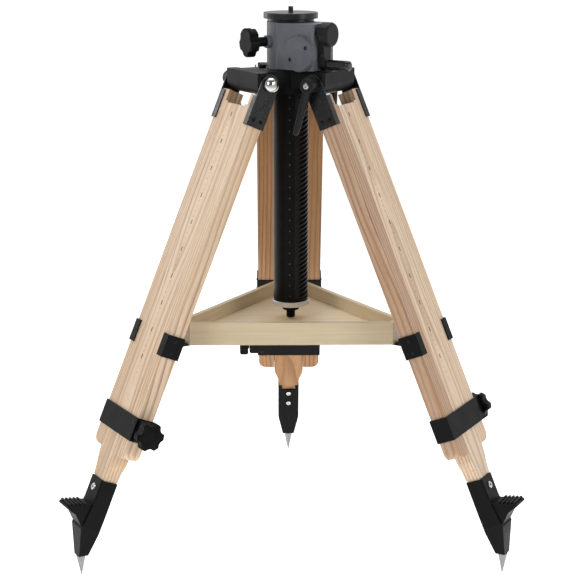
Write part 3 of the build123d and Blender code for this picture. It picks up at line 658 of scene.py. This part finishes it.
TUBE = metal(
    "tube_anodised", (0.004, 0.004, 0.0045), 0.30, UPRIGHT, 6, 700, 0.012 * MM, metallic=0.0, shine=0.12
)
RACK = metal(
    "rack_blackened", (0.012, 0.012, 0.013), 0.34, UPRIGHT, 600, 90, 0.02 * MM, metallic=0.3, shine=0.2
)
PLATE = turned("plate_turned", (0.012, 0.012, 0.013), 0.30, HEAD_TOP, 0.9 * MM, 0.03 * MM, metallic=0.1)
STUD = turned("stud_black", (0.045, 0.045, 0.047), 0.36, HEAD_TOP, 0.7 * MM, 0.02 * MM, metallic=0.8)
RING = turned("ring_aluminium", (0.86, 0.86, 0.84), 0.42, UPRIGHT, 0.8 * MM, 0.03 * MM, metallic=0.6)
STEEL = metal("gear_steel", (0.46, 0.46, 0.45), 0.32, GEARBOX, 300, 300, 0.02 * MM)
BRONZE = metal("bush_bronze", (0.58, 0.40, 0.19), 0.38, GEARBOX, 300, 120, 0.02 * MM)
CHROME = metal("polished_chrome", (0.74, 0.74, 0.72), 0.13, UPRIGHT, 60, 60, 0.004 * MM)
KNOB = plastic("knob_moulded", (0.003, 0.003, 0.0033), 0.46, 0.06)
GRIP = plastic("grip_polished", (0.008, 0.008, 0.009), 0.24, 0.6)
BUSH = plastic("bush_acetal", (0.020, 0.020, 0.021), 0.45)
LEVEL = glass("level_fluid", (0.42, 0.62, 0.12))
INK = ink("scale_ink", (0.022, 0.016, 0.013))
TUBE_MARK = ink("tube_marks", (0.022, 0.022, 0.023))

for node in ("head_crown", "brake_pad"):
    wear_in(node, CAST)
wear_in("gear_housing", SLATE)
wear_in("bearing_cap", SLATE_CAP)
wear_in("column_bushes", BUSH)
wear_in("gear_bushes", BRONZE)
wear_in("worm_wheel", BRONZE)
for node in ("hinge_bolts", "set_screws", "pinion_shaft", "worm_shaft", "tray_hinge_pin"):
    wear_in(node, STEEL)
for node in ("dome_nuts", "grip_spindle"):
    wear_in(node, CHROME)
wear_in("bubble_level", CAST)
wear_in("column_tube", TUBE)
wear_in("gear_rack", RACK)
wear_in("top_plate", PLATE)
wear_in("end_ring", RING)
wear_in("draw_rod", STUD)
wear_in("draw_knob", KNOB)
wear_in("crank_arm", LEVER_PAINT)
wear_in("crank_grip", GRIP)
wear_in("brake_screw", SHEET)
wear_in("brake_star", KNOB)

ASH_PALE = {"left": (0.82, 0.645, 0.47), "right": (0.86, 0.685, 0.51), "rear": (0.48, 0.275, 0.13)}
ASH_DARK = {"left": (0.31, 0.155, 0.075), "right": (0.25, 0.115, 0.055), "rear": (0.12, 0.045, 0.02)}
for number, name in enumerate(LEGS):
    pale, dark = ASH_PALE[name], ASH_DARK[name]
    uneven = 0.75 if name == "right" else 0.15
    rails = planks("ash_rails_" + name, LEG[name], 0.37 * number, pale, dark, 6.2 * MM, uneven=uneven)
    board = planks("ash_board_" + name, LEG[name], 1.9 + 0.41 * number, pale, dark, 5.2 * MM, 0.85, False)
    spike = metal("spike_steel_" + name, (0.36, 0.36, 0.35), 0.32, LEG[name], 900, 40, 0.03 * MM)
    wear_in("rails_" + name, rails)
    wear_in("board_" + name, board)
    wear_in("spike_" + name, spike)
    wear_in("brackets_" + name, HAMMERED)
    wear_in("clamp_band_" + name, SHEET)
    wear_in("tray_clip_" + name, SHEET)
    wear_in("foot_" + name, FOOT_PAINT)
    wear_in("foot_screws_" + name, CHROME)
    wear_in("clamp_knob_" + name, KNOB)
    wear_in("hinge_lever_" + name, LEVER_PAINT)

BIRCH_PALE = (0.67, 0.555, 0.38)
BIRCH_DARK = (0.55, 0.425, 0.255)
# The tray floor is the walls' birch painted paler: painted light for the light that falls into the tray.
TRAY_FLOOR_LIT_PALE = (0.90, 0.78, 0.56)
TRAY_FLOOR_LIT_DARK = (0.74, 0.61, 0.40)
wear_in("tray_walls", plywood("birch_walls", BIRCH_PALE, BIRCH_DARK, (5, 5, 150)))
wear_in("tray_floor", plywood("birch_floor_lit", TRAY_FLOOR_LIT_PALE, TRAY_FLOOR_LIT_DARK, (6, 90, 6)))
wear_in("tray_stays", SHEET)


# Detail pieces


def threaded_rod():
    """The draw bar: plain in the column, its end cut with a thread above the top plate."""
    low, high = (corner.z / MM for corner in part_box("draw_rod"))
    stud = frame["record"]["mounts"][0]
    crest = stud["dims"]["r_mm"]
    face = high - STUD_HEIGHT
    rod = crest + 0.24
    profile = [(0, low), (rod, low), (rod, face)]
    rows = 60
    for row in range(rows + 1):
        level = face + (high - face) * row / rows
        profile.append((crest, level))
    profile += [(crest - 1.5, high), (0, high)]

    def reach(angle, level, r):
        if level <= face or r < crest - 1:
            return r
        turn = (level - face) / THREAD_PITCH - angle / tau
        tooth = abs(2 * (turn % 1) - 1)
        end = min(1, max(0, (high - level) / 1.0))
        return min(crest - 0.8 * tooth, crest - 0.9 * (1 - end))

    stop_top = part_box("column_tube")[1].z / MM - ROD_STOP_DROP
    stop_base = stop_top - ROD_STOP_THICKNESS
    outline = [(rod, stop_base), (ROD_STOP_RADIUS, stop_base), (ROD_STOP_RADIUS, stop_top), (rod, stop_top)]
    stop = lathe(outline, 48)
    meshes = [(lathe(profile, 48, reach), Matrix.Identity(4)), (stop, Matrix.Identity(4))]
    add_piece("draw_bar_threaded", "draw_bar", STUD, meshes, UPRIGHT, ["draw_rod"])


def fluted_knob():
    """The draw bar's knob, with fluting on its wide part to grip."""
    low, high = (corner.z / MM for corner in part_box("draw_knob"))
    wide = size("draw_knob").x / MM / 2
    step = high - 9
    flutes = 24
    profile = [(0, low), (6.6, low), (7.8, low + 1.2), (8, step - 0.5), (8.4, step), (wide - 1.2, step)]
    profile += [(wide, step + 1.2), (wide, high - 1.2), (wide - 1.2, high), (0, high)]

    def reach(angle, level, r):
        if r < wide - 2:
            return r
        return r - 0.7 * max(0, cos(flutes * angle)) ** 2

    meshes = [(lathe(profile, 240, reach), Matrix.Identity(4))]
    add_piece("draw_knob_fluted", "draw_bar", KNOB, meshes, UPRIGHT, ["draw_knob"])


def level_vial():
    """Domed vial of the bubble level, with its circle."""
    low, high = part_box("bubble_level")
    centre = (low + high) / 2
    rim = (high.x - low.x) / MM / 2 - 1.6
    place = Matrix.Translation((centre.x, centre.y, high.z - 1.3 * MM))
    dome = [(rim * cos(pi / 2 * i / 8), 0.9 * sin(pi / 2 * i / 8)) for i in range(8)]
    meshes = [(lathe([(rim, -0.2)] + dome + [(0, 0.9)], 48), Matrix.Identity(4))]
    add_piece("level_vial", "head", LEVEL, meshes, place)
    circle = [(1.75, 0.72), (2.05, 0.70), (2.05, 0.92), (1.75, 0.96), (1.75, 0.72)]
    meshes = [(lathe(circle, 40), Matrix.Identity(4))]
    add_piece("level_circle", "head", INK, meshes, place)


def arm_screw():
    """Grub screw that holds the grip's spindle in the crank arm."""
    into = GEARBOX.inverted()
    hub = into @ Vector(joints["crank_turn"]["pos_m"])
    grip = into @ Vector(joints["grip_spin"]["pos_m"])
    share = 0.7
    spot = hub.lerp(grip, share)
    start = min((into @ vertex.co).x for vertex in frame["nodes"]["crank_arm"].data.vertices)
    half_width = ARM_HUB_HALF + (ARM_END_HALF - ARM_HUB_HALF) * share
    place = at(start / MM + 5.5, spot.y / MM - half_width + 0.35, spot.z / MM, "-Y")
    add_piece("crank_arm_screw", "crank", STUD, [(socket_head(2.7, 0.9), place)], GEARBOX)


def housing_screws():
    """Three socket screws that hold the gear housing's lid, on its right wall."""
    into = GEARBOX.inverted()
    corners = [into @ vertex.co for vertex in frame["nodes"]["gear_housing"].data.vertices]
    top = max(corner.z for corner in corners) / MM
    base = middle("bearing_cap").z / MM - 30
    meshes = []
    for y, z in ((-41, top - 15), (12, top - 15), (12, base + 10)):
        meshes.append((socket_head(3.2, 1.6), at(CASE_SIDE - 0.1, y, z, "+X")))
    add_piece("housing_screws", "head", STUD, meshes, GEARBOX)


def board_scale(name):
    """Printed scale on the sliding board: a long dash each 50 mm, short ones between."""
    low, high = leg_box("board_" + name, name)
    face = low.y / MM
    top = high.z / MM
    meshes = []
    for step in range(2, 52):
        level = top + 1 - SCALE_STEP * step
        long = step % 5 == 2
        half_width, half_height = (1.3, 4.0) if long else (0.4, 1.1)
        outline = [(-3 - half_width, -half_height), (-3 + half_width, -half_height)]
        outline += [(-3 + half_width, half_height), (-3 - half_width, half_height)]
        meshes.append((slab(outline, -0.02, 0.06), at(0, face, level, "-Y")))
    add_piece("board_scale_" + name, "foot_board_" + name, INK, meshes, LEG[name])


def leg_fasteners(name):
    """Screws, bolts and rivets of one leg."""
    body = "leg_" + name
    bracket_low, bracket_high = leg_box("brackets_" + name, name)
    outer = bracket_high.x / MM
    meshes = []
    for side, facing in ((-1, "-X"), (1, "+X")):
        for y in (-7.5, 7.5):
            level = bracket_low.z / MM + 12
            meshes.append((dome_head(3.6, 1.7), at(side * (outer - 0.1), y, level, facing)))
    add_piece("bracket_screws_" + name, body, SHEET, meshes, LEG[name])

    half = outer + 0.1
    meshes = []
    for side, facing in ((-1, "-X"), (1, "+X")):
        for rise in (10.5, -10.5):
            spot = at(side * (half - 0.1), 0, CLIP_MIDDLE + rise, facing)
            meshes.append((dome_head(3.1, 1.4), spot))
        front = leg_box("tray_clip_" + name, name)[0].y / MM if name == "rear" else CLIP_FRONT
        meshes.append((rivet(2.6, 1.0), at(side * (half - 9), front + 0.1, CLIP_MIDDLE, "-Y")))
    add_piece("clip_screws_" + name, body, LEVER_PAINT, meshes, LEG[name])

    band_low, band_high = leg_box("clamp_band_" + name, name)
    level = (band_low.z + band_high.z) / 2 / MM
    front, back = band_low.y / MM, band_high.y / MM
    meshes = []
    for rise in (-11, 11):
        meshes.append((rivet(2.8, 1.1), at(outer - 9, front + 0.1, level + rise, "-Y")))
        meshes.append((rivet(2.8, 1.1), at(outer - 9, back - 0.1, level + rise, "+Y")))
    add_piece("band_rivets_" + name, body, LEVER_PAINT, meshes, LEG[name])


def foot_bolts(name):
    """Socket-headed bolts through the foot into the board's end, in place of the plain CAD ones."""
    meshes = [(socket_head(6.4, 2.0, 0.46), at(0, FOOT_FRONT, FOOT_TOP - 17, "-Y"))]
    for drop in (20, 47):
        meshes.append((socket_head(4.9, 1.8, 0.46), at(0, FOOT_BACK, FOOT_TOP - drop, "+Y")))
    body, plain = "foot_board_" + name, ["foot_screws_" + name]
    add_piece("foot_bolts_" + name, body, CHROME, meshes, LEG[name], plain)


def lever_screw(name):
    """Chrome screw in the end of a hinge lever's hub."""
    meshes = [(socket_head(5.2, 1.8, 0.42), at(LEVER_HUB_END + 0.1, 0, 0, "-X"))]
    add_piece("lever_screw_" + name, "hinge_clamp_" + name, CHROME, meshes, LEG[name])


def tube_marks():
    """Small printed dots down the column's front."""
    low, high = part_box("column_tube")
    radius = size("column_tube").x / MM / 2
    facing = radians(-4)
    meshes = []
    level = low.z / MM + 12
    while level < high.z / MM - 20:
        dot = rivet(1.5, 0.12)
        turn = Matrix.Rotation(facing, 4, "Z") @ at(0, -radius + 0.05, level, "-Y")
        meshes.append((dot, turn))
        level += TUBE_DOT_STEP
    add_piece("column_marks", "column", TUBE_MARK, meshes, UPRIGHT)


def tray_screws():
    """Pan-head screws that hold the stays under the tray."""
    under = (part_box("tray_stays")[0].z) / MM
    meshes = []
    for azimuth in (-60, 60, 180):
        for reach in (140, 165):
            turn = Matrix.Rotation(radians(azimuth), 4, "Z")
            meshes.append((dome_head(4.0, 1.8), turn @ at(0, -reach, under + 0.1, "-Z")))
    add_piece("tray_screws", "tray", CHROME, meshes, UPRIGHT)


make_camera()
make_studio()
make_floor()
threaded_rod()
fluted_knob()
level_vial()
arm_screw()
housing_screws()
tube_marks()
tray_screws()
for name in LEGS:
    board_scale(name)
    leg_fasteners(name)
    foot_bolts(name)
    lever_screw(name)
